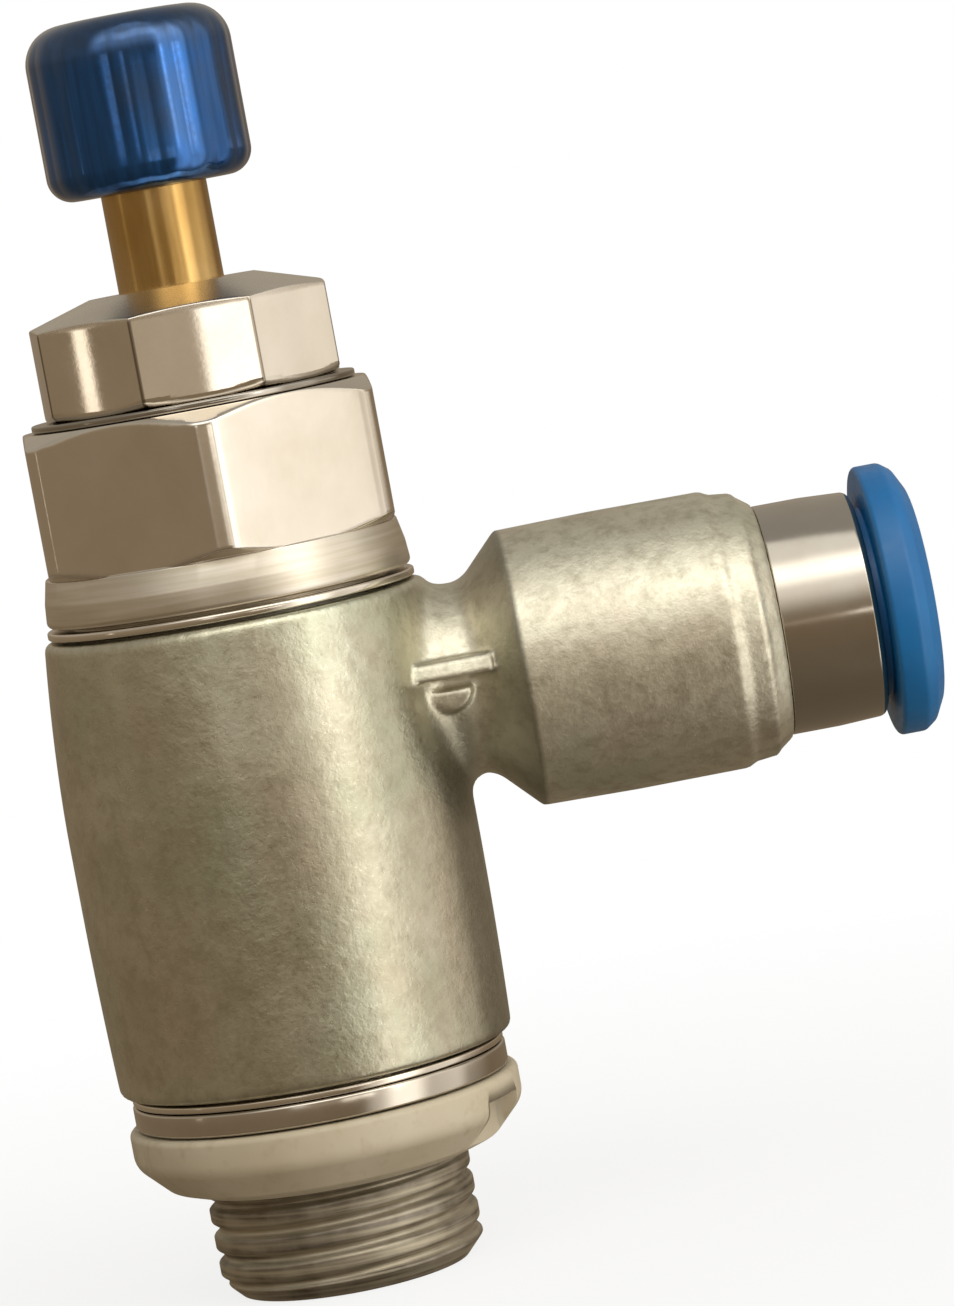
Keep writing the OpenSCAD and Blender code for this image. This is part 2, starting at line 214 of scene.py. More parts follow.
def soft_low(a, b, crispness):
    """The lower of two radii, with a small round where they cross."""
    low = np.minimum(a, b)
    return low - np.log1p(np.exp(-crispness * np.abs(a - b))) / crispness


def new_object(name, verts, faces):
    """A smooth-shaded mesh object from points in millimetres."""
    mesh = bpy.data.meshes.new(name)
    mesh.from_pydata((np.asarray(verts) * MM).tolist(), [], faces)
    work = bmesh.new()
    work.from_mesh(mesh)
    bmesh.ops.remove_doubles(work, verts=work.verts, dist=1e-7)
    bmesh.ops.recalc_face_normals(work, faces=work.faces)
    work.to_mesh(mesh)
    work.free()
    mesh.validate()
    mesh.polygons.foreach_set("use_smooth", [True] * len(mesh.polygons))
    obj = bpy.data.objects.new(name, mesh)
    bpy.context.scene.collection.objects.link(obj)
    return obj


def turned(name, radii, heights, angles=None, along_x=False, closed=True):
    """A solid from rings of points: radii is one row per ring, a number or one value per angle."""
    if angles is None:
        angles = even_angles(144)
    rows = np.array([np.broadcast_to(r, angles.shape) for r in radii], float)
    count, columns = rows.shape
    level = np.broadcast_to(np.array(heights, float)[:, None], rows.shape)
    points = np.stack([rows * np.cos(angles), rows * np.sin(angles), level], axis=-1)
    if along_x:
        points = np.stack([level, points[..., Y], BRANCH_Z - points[..., X]], axis=-1)
    last = count if closed else count - 1
    faces = []
    for i in range(last):
        below, above = i * columns, (i + 1) % count * columns
        for j in range(columns):
            k = (j + 1) % columns
            faces.append((below + j, below + k, above + k, above + j))
    return new_object(name, points.reshape(-1, 3), faces)


def lathe(name, outline, along_x=False, closed=True):
    """A turned piece with rounded edges. An outline that starts on the axis isn't closed."""
    points = soften(outline, closed=closed)
    return turned(name, points[:, 0], points[:, 1], None, along_x, closed)


def weigh_normals(obj):
    """Keeps large faces flat and lets the small ones at their edges carry the bend."""
    modifier = obj.modifiers.new("weighted_normals", "WEIGHTED_NORMAL")
    modifier.mode = "FACE_AREA"
    modifier.weight = 80


def cut(obj, cutters):
    """Takes the cutters' shapes out of obj and removes the cutters."""
    for cutter in cutters:
        modifier = obj.modifiers.new("cut", "BOOLEAN")
        modifier.operation = "DIFFERENCE"
        modifier.solver = "EXACT"
        modifier.object = cutter
    bpy.context.view_layer.update()
    graph = bpy.context.evaluated_depsgraph_get()
    mesh = bpy.data.meshes.new_from_object(obj.evaluated_get(graph))
    obj.modifiers.clear()
    old = obj.data
    obj.data = mesh
    mesh.name = obj.name
    bpy.data.meshes.remove(old)
    for cutter in cutters:
        bpy.data.objects.remove(cutter)
    mesh.polygons.foreach_set("use_smooth", [True] * len(mesh.polygons))


def drill(radius, length, at, direction):
    """A closed cylinder that starts at a point and runs along a direction, for cutting."""
    sides = 32
    angles = even_angles(sides)
    ring = np.stack([radius * np.cos(angles), radius * np.sin(angles)], axis=-1)
    low = [(x, y, 0.0) for x, y in ring]
    high = [(x, y, length) for x, y in ring]
    faces = [(i, (i + 1) % sides, sides + (i + 1) % sides, sides + i) for i in range(sides)]
    faces += [tuple(range(sides)), tuple(range(sides, 2 * sides))]
    turn = Vector(direction).to_track_quat("Z", "Y").to_matrix()
    points = [tuple(turn @ Vector(p) + Vector(at)) for p in low + high]
    return new_object("cutter", points, faces)


def block(low, high, turn_z):
    """A closed box, turned about Z by degrees, for cutting."""
    corners = [(x, y, z) for x in (low[0], high[0]) for y in (low[1], high[1]) for z in (low[2], high[2])]
    turn = Matrix.Rotation(math.radians(turn_z), 3, "Z")
    points = [tuple(turn @ Vector(p)) for p in corners]
    faces = [(0, 1, 3, 2), (4, 5, 7, 6), (0, 1, 5, 4), (2, 3, 7, 6), (0, 2, 6, 4), (1, 3, 7, 5)]
    return new_object("cutter", points, faces)


# ---------------------------------------------------------------- materials


class NodeTree:
    """Small helper that adds and links shader nodes."""

    def __init__(self, tree):
        self.tree = tree

    def add(self, kind, **settings):
        """A new node with its settings."""
        node = self.tree.nodes.new(kind)
        for key, value in settings.items():
            setattr(node, key, value)
        return node

    def link(self, source, target):
        self.tree.links.new(source, target)

    def ramp(self, source, stops):
        """A colour ramp: stops are (position, colour)."""
        node = self.add("ShaderNodeValToRGB")
        elements = node.color_ramp.elements
        while len(elements) < len(stops):
            elements.new(0.5)
        for element, (position, color) in zip(elements, stops):
            element.position = position
            element.color = (*color, 1.0)
        self.link(source, node.inputs["Fac"])
        return node.outputs["Color"]

    def range(self, source, low, high, start=0.3, end=0.7, smooth=False):
        """Maps a value that runs from start to end to a value from low to high."""
        node = self.add("ShaderNodeMapRange")
        node.interpolation_type = "SMOOTHSTEP" if smooth else "LINEAR"
        node.inputs["From Min"].default_value = start
        node.inputs["From Max"].default_value = end
        node.inputs["To Min"].default_value = low
        node.inputs["To Max"].default_value = high
        self.link(source, node.inputs["Value"])
        return node.outputs["Result"]

    def math(self, operation, a, b=0.0):
        """A math node of one or two values. An operation on one value ignores the second."""
        node = self.add("ShaderNodeMath", operation=operation)
        for slot, value in zip(node.inputs, (a, b)):
            if isinstance(value, (int, float)):
                slot.default_value = value
            else:
                self.link(value, slot)
        return node.outputs["Value"]

    def mix(self, factor, a, b, blend="MIX"):
        """Mixes colours, which are outputs or plain (r, g, b)."""
        node = self.add("ShaderNodeMix", data_type="RGBA", blend_type=blend)
        for slot, value in ((node.inputs[0], factor), (node.inputs[6], a), (node.inputs[7], b)):
            if isinstance(value, tuple):
                slot.default_value = (*value, 1.0)
            elif isinstance(value, (int, float)):
                slot.default_value = value
            else:
                self.link(value, slot)
        return node.outputs[2]


class Nodes(NodeTree):
    """A node material under construction."""

    def __init__(self, name):
        self.material = bpy.data.materials.new(name)
        self.material.use_nodes = True
        super().__init__(self.material.node_tree)
        self.shader = self.tree.nodes["Principled BSDF"]
        self.place = self.add("ShaderNodeTexCoord").outputs["Object"]

    def axes(self):
        """Object coordinates as separate outputs."""
        split = self.add("ShaderNodeSeparateXYZ")
        self.link(self.place, split.inputs[0])
        return split.outputs

    def scaled(self, stretch):
        """Object coordinates, stretched along each axis."""
        mapping = self.add("ShaderNodeMapping")
        mapping.inputs["Scale"].default_value = stretch
        self.link(self.place, mapping.inputs["Vector"])
        return mapping.outputs["Vector"]

    def noise(self, scale, detail=3.0, roughness=0.5, stretch=(1, 1, 1)):
        """Noise with about scale features in a metre."""
        node = self.add("ShaderNodeTexNoise")
        node.inputs["Scale"].default_value = scale
        node.inputs["Detail"].default_value = detail
        node.inputs["Roughness"].default_value = roughness
        self.link(self.scaled(stretch), node.inputs["Vector"])
        return node.outputs["Fac"]

    def bump(self, *heights):
        """Chains bumps of (source, distance in millimetres, strength)."""
        normal = None
        for source, distance, strength in heights:
            node = self.add("ShaderNodeBump")
            node.inputs["Distance"].default_value = distance * MM
            node.inputs["Strength"].default_value = strength
            self.link(source, node.inputs["Height"])
            if normal is not None:
                self.link(normal, node.inputs["Normal"])
            normal = node.outputs["Normal"]
        self.link(normal, self.shader.inputs["Normal"])

    def set(self, **values):
        """Sets uniform values or links on the shader's own sockets."""
        for key, value in values.items():
            slot = self.shader.inputs[key.replace("_", " ").title()]
            if hasattr(value, "is_output"):
                self.link(value, slot)
            elif isinstance(value, tuple):
                slot.default_value = (*value, 1.0)
            else:
                slot.default_value = value
        return self.material


def nickel(name, rough=(0.10, 0.16), shade=1.0, bolt=False, painted_corner_shade=None):
    """Bright nickel plating with faint smudges and a little tarnish.

    The bolt's thread is darker and rougher: blotches of dirt, and painted shade from the seal ring over it.
    Its flange has turning lines. Painted corner shade is dark lines painted at the lock nut's corners,
    standing in for the dark reflections there, given as their number and the turn of the first in degrees.
    The nut's bevel is duller. A shade below 1 darkens the whole plating, painted shade for pieces that
    should look darker.
    """
    n = Nodes(name)
    smudge = n.noise(420, detail=4)
    fine = n.noise(5200, detail=2)
    tarnish = n.noise(160, detail=5, roughness=0.62)
    light = tuple(shade * c for c in (0.80, 0.74, 0.655))
    dark = tuple(shade * c for c in (0.68, 0.60, 0.49))
    color = n.mix(n.range(tarnish, 0.0, 0.5, 0.42, 0.68), light, dark)
    roughness = n.math("ADD", n.range(smudge, *rough), n.range(fine, 0.0, 0.03))
    heights = [(fine, 0.002, 0.3), (smudge, 0.004, 0.15)]
    axes = n.axes()
    up = axes["Z"]
    if bolt:
        # Darker, rougher thread below the seal ring: blotches of dirt, and painted shade from the ring
        # above it
        thread_dirt_and_shade = n.range(up, 1.0, 0.0, -0.1 * MM, 0.1 * MM)
        blotchy_dirt_and_shade = n.math("MULTIPLY", thread_dirt_and_shade, n.range(n.noise(700, detail=4), 0.7, 1.0))
        color = n.mix(blotchy_dirt_and_shade, color, (0.14, 0.115, 0.083))
        roughness = n.math("ADD", roughness, n.math("MULTIPLY", thread_dirt_and_shade, 0.2))
        below_hexagon = n.range(up, 1.0, 0.0, (HEX_BOTTOM - 0.1) * MM, HEX_BOTTOM * MM)
        turning = n.noise(1100, detail=3, stretch=(0.12, 0.12, 4))
        lines = n.math("MULTIPLY", below_hexagon, turning)
        color = n.mix(n.range(lines, 0.0, 0.7, 0.35, 0.65), color, (0.62, 0.56, 0.43))
        roughness = n.math("ADD", roughness, n.math("MULTIPLY", below_hexagon, 0.2))
        heights.append((lines, 0.01, 0.3))
    # Dark lines painted at the nut's corners: painted shade standing in for the dark reflections its
    # corners catch
    if painted_corner_shade:
        corners, turn = painted_corner_shade
        around = n.math("ARCTAN2", axes["Y"], axes["X"])
        past_first = n.math("SUBTRACT", around, math.radians(turn))
        sides = n.math("MULTIPLY", past_first, corners / (2 * math.pi))
        past_middle = n.math("FRACT", n.math("ADD", sides, corners / 2 + 0.5))
        from_corner = n.math("ABSOLUTE", n.math("SUBTRACT", past_middle, 0.5))
        corner_shade_line = n.range(from_corner, 0.8, 0.0, 0.008, 0.022, smooth=True)
        on_side = n.range(up, 1.0, 0.0, (NUT_TOP - 1.3) * MM, (NUT_TOP - 1.1) * MM)
        color = n.mix(n.math("MULTIPLY", corner_shade_line, on_side), color, (0.16, 0.125, 0.085))
        on_bevel = n.math("SUBTRACT", 1.0, on_side)
        roughness = n.math("ADD", roughness, n.math("MULTIPLY", on_bevel, 0.22))
    n.bump(*heights)
    return n.set(base_color=color, metallic=1.0, roughness=roughness)


def zinc():
    """Passivated die-cast zinc: fine sandy grain, cloudy yellow and green tints, satin gloss.

    The branch is painted paler than the barrel, standing in for the stronger light it catches, and it is
    duller.
    Its flare is darkened with painted shade, and the corner under its root is darker: dirt, and painted
    shade that dims a highlight there.
    """
    n = Nodes("zinc_diecast")
    grain = n.noise(4300, detail=3, roughness=0.65)
    mottle = n.noise(1050, detail=4, roughness=0.7)
    cloud = n.noise(190, detail=5, roughness=0.6)
    base = n.ramp(cloud, [
        (0.30, (0.49, 0.45, 0.33)), (0.52, (0.60, 0.57, 0.445)), (0.75, (0.68, 0.66, 0.54)),
    ])
    axes = n.axes()
    along = axes["X"]
    on_branch = n.range(along, 0.0, 1.0, 0.62 * BARREL_R * MM, 1.08 * BARREL_R * MM, smooth=True)
    # Painted light: the branch is painted paler, standing in for the stronger light it catches
    color = n.mix(n.math("MULTIPLY", on_branch, 0.62), base, (0.86, 0.82, 0.68))
    greenish = n.range(n.noise(115, detail=3), 0.0, 0.6, 0.48, 0.68)
    brownish = n.range(n.noise(150, detail=3, stretch=(1.3, 1.3, 0.6)), 0.0, 0.55, 0.5, 0.7)
    color = n.mix(greenish, color, (0.50, 0.55, 0.41))
    color = n.mix(brownish, color, (0.58, 0.49, 0.39))
    color = n.mix(n.range(mottle, 0.0, 0.55, 0.45, 0.68), color, (0.41, 0.37, 0.27))
    # Painted shade: the flare is darkened more towards the shell
    flare_painted_shade = n.math("MULTIPLY", n.range(along, 0.0, 0.7, FLARE_START * MM, FLARE_END * MM),
                      n.range(along, 1.0, 0.0, (FLARE_END + 0.2) * MM, (FLARE_END + 0.45) * MM))
    color = n.mix(flare_painted_shade, color, (0.22, 0.21, 0.165))
    # Darker corner under the branch's root: dirt, and painted shade that dims the fillet's highlight
    past_start = n.range(along, 0.0, 1.0, CORNER_START * MM, (CORNER_START + 1) * MM, smooth=True)
    before_end = n.range(along, 1.0, 0.0, (CORNER_END - 1) * MM, CORNER_END * MM, smooth=True)
    below = n.range(axes["Z"], 0.6, 0.0, (BRANCH_Z - 2.2) * MM, (BRANCH_Z - 0.6) * MM, smooth=True)
    root_corner_dirt_and_shade = n.math("MULTIPLY", n.math("MULTIPLY", past_start, before_end), below)
    color = n.mix(root_corner_dirt_and_shade, color, (0.17, 0.16, 0.115))
    roughness = n.math("ADD", n.range(grain, 0.25, 0.38), n.math("MULTIPLY", on_branch, 0.11))
    n.bump((mottle, 0.06, 0.7), (grain, 0.02, 0.5))
    return n.set(base_color=color, metallic=0.96, roughness=roughness)


def turned_brass():
    """Golden brass, drawn smooth, with faint lengthwise stains."""
    n = Nodes("brass")
    drawn = n.noise(1500, detail=3, stretch=(2.5, 2.5, 0.12))
    stain = n.noise(330, detail=4, stretch=(1, 1, 0.4))
    color = n.ramp(stain, [
        (0.3, (0.42, 0.24, 0.068)), (0.55, (0.55, 0.35, 0.125)), (0.8, (0.66, 0.46, 0.21)),
    ])
    n.bump((drawn, 0.006, 0.3))
    return n.set(base_color=color, metallic=1.0, roughness=n.range(drawn, 0.15, 0.26))


def anodised_blue():
    """Deep blue anodised aluminium, glossy, faintly streaked, and greyer at its top from wear and painted
    shade.
    """
    n = Nodes("blue_anodised_aluminium")
    streak = n.noise(900, detail=3, stretch=(3, 3, 0.2))
    grain = n.noise(4200, detail=2)
    wear = n.noise(240, detail=4)
    color = n.ramp(streak, [
        (0.3, (0.007, 0.067, 0.22)), (0.55, (0.011, 0.10, 0.34)), (0.8, (0.025, 0.14, 0.44)),
    ])
    color = n.mix(n.range(wear, 0.0, 0.6, 0.45, 0.75), color, (0.045, 0.075, 0.12))
    # Greyer towards the top: wear, and painted shade that dims the top's reflection
    worn_and_shaded_top = n.range(n.axes()["Z"], 0.0, 0.6, (KNOB_TOP - 2.6) * MM, (KNOB_TOP - 0.9) * MM, smooth=True)
    color = n.mix(worn_and_shaded_top, color, (0.045, 0.07, 0.105))
    n.bump((grain, 0.002, 0.3), (streak, 0.004, 0.25))
    return n.set(base_color=color, metallic=0.9, roughness=n.range(grain, 0.14, 0.22),
                 coat_weight=0.55, coat_roughness=0.12)


def moulded(name, low, high, roughness, depth=0.006, speckle=None):
    """Moulded plastic: two close colours, a fine grain and uneven gloss."""
    n = Nodes(name)
    cloud = n.noise(210, detail=4)
    grain = n.noise(2600, detail=3)
    color = n.ramp(cloud, [(0.3, low), (0.7, high)])
    if speckle:
        color = n.mix(n.range(n.noise(1300, detail=2), 0.0, 0.4, 0.55, 0.75), color, speckle)
    n.bump((grain, depth, 0.4), (cloud, 0.02, 0.15))
    return n.set(base_color=color, roughness=n.range(grain, roughness - 0.07, roughness + 0.08))


def rubber():
    """Black nitrile rubber with a dull bloom."""
    n = Nodes("nitrile_rubber")
    bloom = n.noise(500, detail=4)
    grain = n.noise(3200, detail=2)
    color = n.ramp(bloom, [(0.35, (0.012, 0.012, 0.013)), (0.75, (0.045, 0.043, 0.040))])
    n.bump((grain, 0.01, 0.4))
    return n.set(base_color=color, roughness=n.range(grain, 0.5, 0.7))


def spring_steel():
    """Stamped spring steel with a directional grain."""
    n = Nodes("spring_steel")
    grain = n.noise(2600, detail=3, stretch=(0.3, 1, 3))
    heat = n.noise(330, detail=4)
    color = n.ramp(heat, [(0.3, (0.40, 0.39, 0.37)), (0.7, (0.62, 0.61, 0.59))])
    n.bump((grain, 0.006, 0.4))
    return n.set(base_color=color, metallic=1.0, roughness=n.range(grain, 0.22, 0.38))


MATERIALS = {
    "nickel_plated_brass": nickel("nickel_plated_brass"),
    "zinc_diecast": zinc(),
    "brass": turned_brass(),
    "blue_anodised_aluminium": anodised_blue(),
    "blue_plastic": moulded("blue_plastic", (0.007, 0.14, 0.40), (0.013, 0.20, 0.52), 0.38),
    "cream_plastic": moulded("cream_plastic", (0.54, 0.47, 0.34), (0.63, 0.56, 0.43), 0.46, depth=0.012,
                             speckle=(0.44, 0.36, 0.24)),
    "white_plastic": moulded("white_plastic", (0.72, 0.71, 0.67), (0.84, 0.83, 0.79), 0.5),
    "nitrile_rubber": rubber(),
    "spring_steel": spring_steel(),
}


def finish_piece(obj, body, nodes, slot, material=None):
    """Gives a piece its material and its place in the frame."""
    obj.data.materials.clear()
    obj.data.materials.append(material or MATERIALS[slot])
    weigh_normals(obj)
    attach(obj, body)
    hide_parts(*nodes)


# ---------------------------------------------------------------- hollow bolt


def thread_radius(angles, z):
    """A rounded wave that climbs one pitch a turn, right-handed, and runs out below the seat."""
    depth = 0.36
    half_crest = 0.35
    flank = 0.6
    runout_length = 0.45
    phase = np.mod(z / THREAD_PITCH - angles / (2 * math.pi), 1.0)
    from_crest = np.abs(phase - 0.5) * 2
    root = 0.5 - 0.5 * np.cos(math.pi * np.clip((from_crest - half_crest) / flank, 0, 1))
    runout = np.clip((z + runout_length) / runout_length, 0, 1)
    return THREAD_R - depth * root * (1 - runout)


def groove(ring, journal_r, bore_r):
    """An O-ring's groove in a journal, as deep as the ring needs in its bore."""
    middle = sum(span(ring, Z)) / 2
    low, high = middle - GROOVE_HALF_WIDTH, middle + GROOVE_HALF_WIDTH
    floor_r = bore_r - GROOVE_DEPTH
    return [(journal_r, low, 0.05), (floor_r, low, 0.1), (floor_r, high, 0.1), (journal_r, high, 0.05)]


def hollow_bolt():
    """Thread, journals, flange and hexagon in one solid with its stepped passage and flow holes."""
    angles = cornered_angles(120, 6, HEX_TURN)
    hexagon = polygon_radius(angles, HEX_FLAT_R, 6, HEX_TURN)
    radii, heights = [], []

    def rows(points, shape=None):
        """Adds rings: round ones, or of the radii that shape gives for all angles."""
        for r, z in points:
            radii.append(np.full(angles.shape, r) if shape is None else shape(r, z))
            heights.append(z)

    chamfer_z = THREAD_END + 0.9
    thread_z = np.arange(THREAD_END, 0, 0.075)
    bevel = [THREAD_R - max(0.0, chamfer_z - z) * 0.95 for z in thread_z]
    rows([(4.45, THREAD_END), (5.3, THREAD_END)])
    rows(zip(bevel, thread_z), lambda r, z: soft_low(r, thread_radius(angles, z), 25))
    neck_r = 6.4
    low_journal_top = 8.0
    bead_r = WAIST_R + 0.6
    check_z = span("check_seal", Z)[0]
    collar_z = span("check_seal_backup_ring", Z)[1]
    top_journal_z = FLANGE_BOTTOM - 3.5
    outside = [
        (neck_r, 0, 0), (neck_r, SEAL_TOP + 0.05), (JOURNAL_R, SEAL_TOP + 0.05),
        *groove("lower_o_ring", JOURNAL_R, LOW_BORE_R),
        (JOURNAL_R, low_journal_top, 0.3), (WAIST_R, low_journal_top, 0.3),
        (WAIST_R, check_z - 0.8, 0.1), (bead_r, check_z - 0.6, 0.1),
        (bead_r, check_z - 0.4, 0.05), (WAIST_R, check_z - 0.2, 0.05),
        (WAIST_R, collar_z, 0.05), (LOW_BORE_R, collar_z), (LOW_BORE_R, collar_z + 1),
        (WAIST_R, collar_z + 1, 0.3), (WAIST_R, top_journal_z, 0.3), (TOP_JOURNAL_R, top_journal_z, 0.3),
        *groove("upper_o_ring", TOP_JOURNAL_R, TOP_BORE_R),
        (TOP_JOURNAL_R, FLANGE_BOTTOM, 0.05), (FLANGE_R, FLANGE_BOTTOM, 0.3),
        (FLANGE_R - 0.1, HEX_BOTTOM - 1.2, 0.8), (FLANGE_R - 0.35, HEX_BOTTOM, 0.12),
        (HEX_FLAT_R - 0.3, HEX_BOTTOM, 0),
    ]
    rows(soften(outside, 0.12, 4, closed=False)[:-2])
    bevel_outline = [
        (HEX_CORNER_R - 0.75, HEX_BOTTOM, 0), (HEX_CORNER_R, HEX_BOTTOM + 0.4, 0.15),
        (HEX_CORNER_R, BOLT_TOP - 0.6, 0.2), (HEX_CORNER_R - 1.05, BOLT_TOP, 0.15), (5.0, BOLT_TOP, 0),
    ]
    bevel_rows = dense(soften(bevel_outline, closed=False), 0.09)
    low_part = bevel_rows[:, 1] < HEX_BOTTOM + 0.7
    high_part = bevel_rows[:, 1] > BOLT_TOP - 1.0
    outer_part = bevel_rows[:, 0] > 7.8
    bevel_rows = bevel_rows[(low_part | high_part) & outer_part]
    rows(bevel_rows, lambda r, z: soft_low(hexagon, r, 16))
    mouth_r = 3.6
    clip_r = 4.05
    clip_low, clip_high = BOLT_TOP - 1.35, BOLT_TOP - 0.75
    inside = [
        (mouth_r, BOLT_TOP, 0.25), (mouth_r, clip_high, 0), (clip_r, clip_high, 0), (clip_r, clip_low, 0),
        (SCREW_BORE_R, clip_low, 0), (SCREW_BORE_R, ORIFICE_TOP, 0.2), (ORIFICE_R, ORIFICE_TOP, 0.2),
        (ORIFICE_R, ORIFICE_BOTTOM, 0.2), (PORT_BORE_R, ORIFICE_BOTTOM, 0.3),
        (PORT_BORE_R, THREAD_END, 0.4), (PORT_BORE_R + 1.6, THREAD_END, 0),
    ]
    rows(soften([(6.0, BOLT_TOP, 0)] + inside, 0.1, 4, closed=False)[:-1])
    bolt = turned("hollow_bolt_turned", radii, heights, angles)
    holes = []
    hole_start = 2.4
    hole_length = 4.2
    for i in range(4):
        a = math.radians(45 + 90 * i)
        outwards = (math.cos(a), math.sin(a), 0)
        for z, r in ((LOW_HOLE_Z, 1.2), (HIGH_HOLE_Z, 1.5)):
            start = (outwards[0] * hole_start, outwards[1] * hole_start, z)
            holes.append(drill(r, hole_length, start, outwards))
    cut(bolt, holes)
    # The bolt's finish paints shade on its thread, under the seal ring
    finish_piece(bolt, "bolt", ["hollow_bolt"], "nickel_plated_brass",
                 nickel("nickel_plated_bolt_shaded_thread", bolt=True))


# ---------------------------------------------------------------- rings on the bolt


def thread_seal_ring():
    """Cream plastic ring with a conical underside and two tool notches in its edge."""
    bore = 6.45
    land_r = THREAD_R + 0.12
    ring = lathe("thread_seal_ring_moulded", [
        (bore, 0.25, 0.05), (land_r, 0, 0.05), (land_r + 0.45, 0, 0.1), (SEAL_R - 1.42, 0.4, 0.6),
        (SEAL_R, 1.84, 1.1), (SEAL_R, SEAL_TOP, 0.3), (bore, SEAL_TOP, 0.1),
    ])
    cutters = []
    for turn in (-26, 154):
        cutters.append(block((SEAL_R - 1.4, -1.7, -1.0), (SEAL_R + 1, 1.7, 2.5), turn))
    cut(ring, cutters)
    finish_piece(ring, "bolt", ["thread_seal_ring"], "cream_plastic")


def plain_ring(name, node, body, r_in, r_out, bottom, top, edge, material=None):
    """A turned nickel ring with rounded edges."""
    ring = lathe(name, [(r_in, bottom, 0.03), (r_out, bottom, edge), (r_out, top, edge), (r_in, top, 0.03)])
    finish_piece(ring, body, [node], "nickel_plated_brass", material)


# ---------------------------------------------------------------- cast housing


def blend_low(a, b, width):
    """Union of two distance fields with a fillet."""
    h = np.clip(0.5 + 0.5 * (b - a) / width, 0, 1)
    return b * (1 - h) + a * h - width * h * (1 - h)


def blend_high(a, b, width):
    """Intersection of two distance fields with a rounded edge."""
    return -blend_low(-a, -b, width)


def barrel_radius(z):
    """Crowned barrel: a little narrower below, and more so towards its top."""
    widest_low, widest_high = 15.0, 18.0
    below = np.clip((widest_low - z) / 10.4, 0, 1)
    above = np.clip((z - widest_high) / (BARREL_TOP - widest_high), 0, 1)
    return BARREL_R - 0.22 * below**2 - 0.62 * above**1.8


def shell_radius(x):
    """Outline of the connection: flare, nearly straight shell and a shoulder with two edges."""
    end = SHELL_END
    outline = np.array([
        (9.8, 4.1), (11.0, 2.4), (FLARE_END, 0.25), (FLARE_END + 0.2, 0.08), (18.0, 0.0), (end - 2.4, 0.03),
        (end - 1.95, 0.26), (end - 0.9, 0.38), (end - 0.7, 0.6), (end, 1.12), (end + 1, 1.3),
    ])
    return SHELL_R - np.interp(x, outline[:, 0], outline[:, 1])


def housing_field(x, y, z):
    """Signed distance to the housing's surface, in millimetres, negative inside.

    On the neck's front are a raised bar, which faces slightly upwards, and a raised half disc under it.
    """
    r = np.hypot(x, y)
    barrel = blend_high(r - barrel_radius(z), np.maximum(z - BARREL_TOP, BARREL_BOTTOM - z), 0.45)
    rho = np.hypot(y, z - BRANCH_Z)
    neck = np.maximum(rho - NECK_R, x - NECK_END)
    shell = (rho - shell_radius(x)) * 0.8
    shell = blend_high(blend_high(shell, SHELL_START - x, 0.3), x - SHELL_END, 0.12)
    branch = blend_low(neck, shell, 0.5)
    solid = blend_low(barrel, np.maximum(branch, -x), 1.1)
    above_bar = z - BRANCH_Z - MARK_UP
    leaning_face = math.sin(MARK_LEAN) * above_bar - math.cos(MARK_LEAN) * y - NECK_R - 0.65
    bar = np.maximum(np.abs(x - MARK_X) - 2.05, np.abs(above_bar) - 0.45)
    bar = blend_high(bar, leaning_face, 0.22)
    above_disc = above_bar + 1
    disc = np.maximum(np.hypot(x - MARK_X + 0.25, above_disc) - 1.15, above_disc)
    disc = blend_high(disc, rho - NECK_R - 0.4, 0.3)
    solid = blend_low(solid, np.maximum(np.minimum(bar, disc), y + 2), 0.2)
    low_bore = np.maximum(r - LOW_BORE_R, z - MID_BORE_BOTTOM)
    mid_bore = np.maximum(r - MID_BORE_R, np.maximum(z - MID_BORE_TOP, MID_BORE_BOTTOM - z))
    top_bore = np.maximum(r - TOP_BORE_R, MID_BORE_TOP - z)
    bores = np.minimum(np.minimum(low_bore, mid_bore), top_bore)
    passage = np.maximum(rho - PASSAGE_R, -x)
    pilot = np.maximum(rho - PILOT_R, PILOT_START - x)
    seat = np.maximum(rho - CARTRIDGE_BORE_R, SEAT_START - x)
    bores = np.minimum(bores, np.minimum(passage, np.minimum(pilot, seat)))
    return blend_high(solid, -bores, 0.3)


def edge_crossings(f):
    """Sum and count of the surface crossings on the twelve edges of each cell, in cell units."""
    shape = tuple(n - 1 for n in f.shape)
    total = np.zeros(shape + (3,))
    count = np.zeros(shape)
    for axis in range(3):
        others = [a for a in range(3) if a != axis]
        for u in (0, 1):
            for v in (0, 1):
                start = [0, 0, 0]
                start[others[0]], start[others[1]] = u, v
                end = list(start)
                end[axis] = 1
                a = f[tuple(slice(s, s + n) for s, n in zip(start, shape))]
                b = f[tuple(slice(s, s + n) for s, n in zip(end, shape))]
                crossed = (a < 0) != (b < 0)
                t = np.where(crossed, a / np.where(crossed, a - b, 1), 0)
                for k in range(3):
                    total[..., k] += crossed * (t if k == axis else start[k])
                count += crossed
    return total, count


